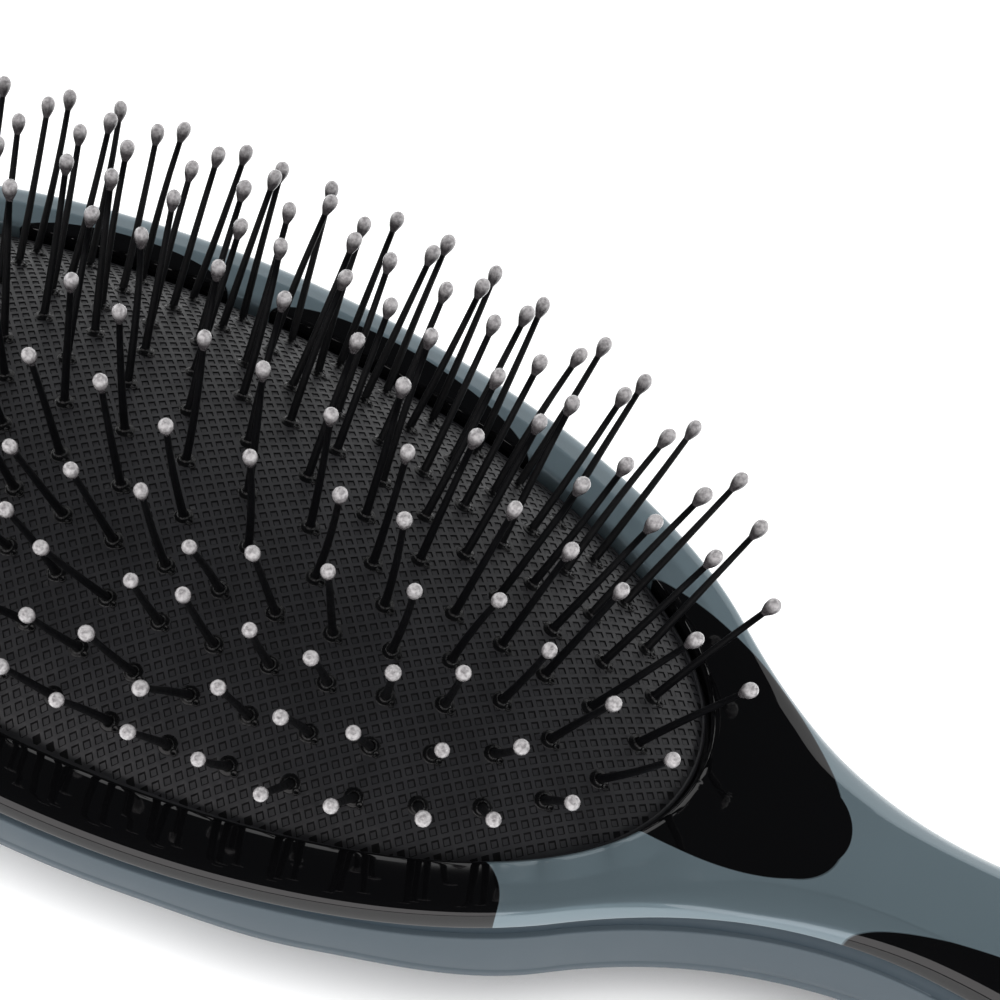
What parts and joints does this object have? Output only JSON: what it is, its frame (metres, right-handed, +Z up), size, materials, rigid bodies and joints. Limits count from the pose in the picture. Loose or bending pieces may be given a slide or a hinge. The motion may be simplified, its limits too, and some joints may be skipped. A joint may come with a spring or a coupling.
{
  "type": "paddle brush",
  "caption": "Oval paddle hair brush with a domed rubber cushion of ball-tipped nylon pins in a glossy two-shell body with a slim handle.",
  "frame": {"origin": "under the middle of the whole brush, on the surface it lies on", "axes": "+X along the brush towards the end of the handle, +Z up through the pins"},
  "size_m": [0.225, 0.071, 0.0396],
  "materials": {
    "satin_shell": "satin",
    "gloss_shell": "glossy",
    "clamp_ring": "matte",
    "cushion": "matte, embossed",
    "pins": "satin"
  },
  "bodies": {
    "body": {"back_shell": "satin_shell", "front_shell": "gloss_shell", "retaining_ring": "clamp_ring"},
    "cushion": {"cushion_pad": "cushion"},
    "pins_centre": {"pins_centre": "pins"},
    "pins_ring1_far": {"pins_ring1_far": "pins"},
    "pins_ring1_near": {"pins_ring1_near": "pins"},
    "pins_ring2_far": {"pins_ring2_far": "pins"},
    "pins_ring2_nose": {"pins_ring2_nose": "pins"},
    "pins_ring2_near": {"pins_ring2_near": "pins"},
    "pins_ring2_neck": {"pins_ring2_neck": "pins"},
    "pins_ring3_far": {"pins_ring3_far": "pins"},
    "pins_ring3_nose": {"pins_ring3_nose": "pins"},
    "pins_ring3_near": {"pins_ring3_near": "pins"},
    "pins_ring3_neck": {"pins_ring3_neck": "pins"},
    "pins_ring4_far": {"pins_ring4_far": "pins"},
    "pins_ring4_nose_far": {"pins_ring4_nose_far": "pins"},
    "pins_ring4_nose_near": {"pins_ring4_nose_near": "pins"},
    "pins_ring4_near": {"pins_ring4_near": "pins"},
    "pins_ring4_neck_near": {"pins_ring4_neck_near": "pins"},
    "pins_ring4_neck_far": {"pins_ring4_neck_far": "pins"},
    "pins_ring5_far": {"pins_ring5_far": "pins"},
    "pins_ring5_nose_far": {"pins_ring5_nose_far": "pins"},
    "pins_ring5_nose_near": {"pins_ring5_nose_near": "pins"},
    "pins_ring5_near": {"pins_ring5_near": "pins"},
    "pins_ring5_neck_near": {"pins_ring5_neck_near": "pins"},
    "pins_ring5_neck_far": {"pins_ring5_neck_far": "pins"}
  },
  "joints": [
    {"name": "cushion_press", "type": "slide", "parent": "body", "child": "cushion", "axis": [0, 0, 1], "range_m": [-0.003, 0], "stiffness_N_per_m": 2000, "deforming": ["cushion_pad"]},
    {"name": "pin_sweep", "type": "hinge", "parent": "cushion", "child": "pins_centre", "pos_m": [-0.0472, 0, 0.02216], "axis": [1, 0, 0], "range_deg": [-10, 10], "stiffness_Nm_per_rad": 0.05},
    {"name": "sweep_ring1_far", "type": "hinge", "parent": "cushion", "child": "pins_ring1_far", "pos_m": [-0.0472, 0.00441, 0.02174], "axis": [1, 0, 0], "range_deg": [-10, 10]},
    {"name": "sweep_ring1_near", "type": "hinge", "parent": "cushion", "child": "pins_ring1_near", "pos_m": [-0.0472, -0.0028, 0.02135], "axis": [1, 0, 0], "range_deg": [-10, 10]},
    {"name": "sweep_ring2_far", "type": "hinge", "parent": "cushion", "child": "pins_ring2_far", "pos_m": [-0.0472, 0.00955, 0.02114], "axis": [1, 0, 0], "range_deg": [-10, 10]},
    {"name": "sweep_ring2_nose", "type": "hinge", "parent": "cushion", "child": "pins_ring2_nose", "pos_m": [-0.08002, 0, 0.01996], "axis": [1, 0, 0], "range_deg": [-10, 10]},
    {"name": "sweep_ring2_near", "type": "hinge", "parent": "cushion", "child": "pins_ring2_near", "pos_m": [-0.0472, -0.00955, 0.02114], "axis": [1, 0, 0], "range_deg": [-10, 10]},
    {"name": "sweep_ring2_neck", "type": "hinge", "parent": "cushion", "child": "pins_ring2_neck", "pos_m": [-0.01438, 0, 0.01958], "axis": [1, 0, 0], "range_deg": [-10, 10]},
    {"name": "sweep_ring3_far", "type": "hinge", "parent": "cushion", "child": "pins_ring3_far", "pos_m": [-0.0472, 0.01317, 0.01962], "axis": [1, 0, 0], "range_deg": [-10, 10]},
    {"name": "sweep_ring3_nose", "type": "hinge", "parent": "cushion", "child": "pins_ring3_nose", "pos_m": [-0.08545, 0, 0.01876], "axis": [1, 0, 0], "range_deg": [-10, 10]},
    {"name": "sweep_ring3_near", "type": "hinge", "parent": "cushion", "child": "pins_ring3_near", "pos_m": [-0.0472, -0.01317, 0.01962], "axis": [1, 0, 0], "range_deg": [-10, 10]},
    {"name": "sweep_ring3_neck", "type": "hinge", "parent": "cushion", "child": "pins_ring3_neck", "pos_m": [-0.00895, 0, 0.0183], "axis": [1, 0, 0], "range_deg": [-10, 10]},
    {"name": "sweep_ring4_far", "type": "hinge", "parent": "cushion", "child": "pins_ring4_far", "pos_m": [-0.0472, 0.01768, 0.01784], "axis": [1, 0, 0], "range_deg": [-10, 10]},
    {"name": "sweep_ring4_nose_far", "type": "hinge", "parent": "cushion", "child": "pins_ring4_nose_far", "pos_m": [-0.08785, 0.00887, 0.01746], "axis": [1, 0, 0], "range_deg": [-10, 10]},
    {"name": "sweep_ring4_nose_near", "type": "hinge", "parent": "cushion", "child": "pins_ring4_nose_near", "pos_m": [-0.08852, -0.00627, 0.01744], "axis": [1, 0, 0], "range_deg": [-10, 10]},
    {"name": "sweep_ring4_near", "type": "hinge", "parent": "cushion", "child": "pins_ring4_near", "pos_m": [-0.0472, -0.01768, 0.01784], "axis": [1, 0, 0], "range_deg": [-10, 10]},
    {"name": "sweep_ring4_neck_near", "type": "hinge", "parent": "cushion", "child": "pins_ring4_neck_near", "pos_m": [-0.00588, -0.00627, 0.01692], "axis": [1, 0, 0], "range_deg": [-10, 10]},
    {"name": "sweep_ring4_neck_far", "type": "hinge", "parent": "cushion", "child": "pins_ring4_neck_far", "pos_m": [-0.00655, 0.00887, 0.01695], "axis": [1, 0, 0], "range_deg": [-10, 10]},
    {"name": "sweep_ring5_far", "type": "hinge", "parent": "cushion", "child": "pins_ring5_far", "pos_m": [-0.0472, 0.02062, 0.0156], "axis": [1, 0, 0], "range_deg": [-10, 10]},
    {"name": "sweep_ring5_nose_far", "type": "hinge", "parent": "cushion", "child": "pins_ring5_nose_far", "pos_m": [-0.0934, 0.00961, 0.01572], "axis": [1, 0, 0], "range_deg": [-10, 10]},
    {"name": "sweep_ring5_nose_near", "type": "hinge", "parent": "cushion", "child": "pins_ring5_nose_near", "pos_m": [-0.09396, -0.0069, 0.01574], "axis": [1, 0, 0], "range_deg": [-10, 10]},
    {"name": "sweep_ring5_near", "type": "hinge", "parent": "cushion", "child": "pins_ring5_near", "pos_m": [-0.0472, -0.02062, 0.0156], "axis": [1, 0, 0], "range_deg": [-10, 10]},
    {"name": "sweep_ring5_neck_near", "type": "hinge", "parent": "cushion", "child": "pins_ring5_neck_near", "pos_m": [-0.00044, -0.0069, 0.01511], "axis": [1, 0, 0], "range_deg": [-10, 10]},
    {"name": "sweep_ring5_neck_far", "type": "hinge", "parent": "cushion", "child": "pins_ring5_neck_far", "pos_m": [-0.001, 0.00961, 0.01511], "axis": [1, 0, 0], "range_deg": [-10, 10]}
  ],
  "couplings": [
    {"joint": "sweep_ring1_far", "follows": "pin_sweep", "ratio": 1},
    {"joint": "sweep_ring1_near", "follows": "pin_sweep", "ratio": 1},
    {"joint": "sweep_ring2_far", "follows": "pin_sweep", "ratio": 1},
    {"joint": "sweep_ring2_nose", "follows": "pin_sweep", "ratio": 1},
    {"joint": "sweep_ring2_near", "follows": "pin_sweep", "ratio": 1},
    {"joint": "sweep_ring2_neck", "follows": "pin_sweep", "ratio": 1},
    {"joint": "sweep_ring3_far", "follows": "pin_sweep", "ratio": 1},
    {"joint": "sweep_ring3_nose", "follows": "pin_sweep", "ratio": 1},
    {"joint": "sweep_ring3_near", "follows": "pin_sweep", "ratio": 1},
    {"joint": "sweep_ring3_neck", "follows": "pin_sweep", "ratio": 1},
    {"joint": "sweep_ring4_far", "follows": "pin_sweep", "ratio": 1},
    {"joint": "sweep_ring4_nose_far", "follows": "pin_sweep", "ratio": 1},
    {"joint": "sweep_ring4_nose_near", "follows": "pin_sweep", "ratio": 1},
    {"joint": "sweep_ring4_near", "follows": "pin_sweep", "ratio": 1},
    {"joint": "sweep_ring4_neck_near", "follows": "pin_sweep", "ratio": 1},
    {"joint": "sweep_ring4_neck_far", "follows": "pin_sweep", "ratio": 1},
    {"joint": "sweep_ring5_far", "follows": "pin_sweep", "ratio": 1},
    {"joint": "sweep_ring5_nose_far", "follows": "pin_sweep", "ratio": 1},
    {"joint": "sweep_ring5_nose_near", "follows": "pin_sweep", "ratio": 1},
    {"joint": "sweep_ring5_near", "follows": "pin_sweep", "ratio": 1},
    {"joint": "sweep_ring5_neck_near", "follows": "pin_sweep", "ratio": 1},
    {"joint": "sweep_ring5_neck_far", "follows": "pin_sweep", "ratio": 1}
  ]
}
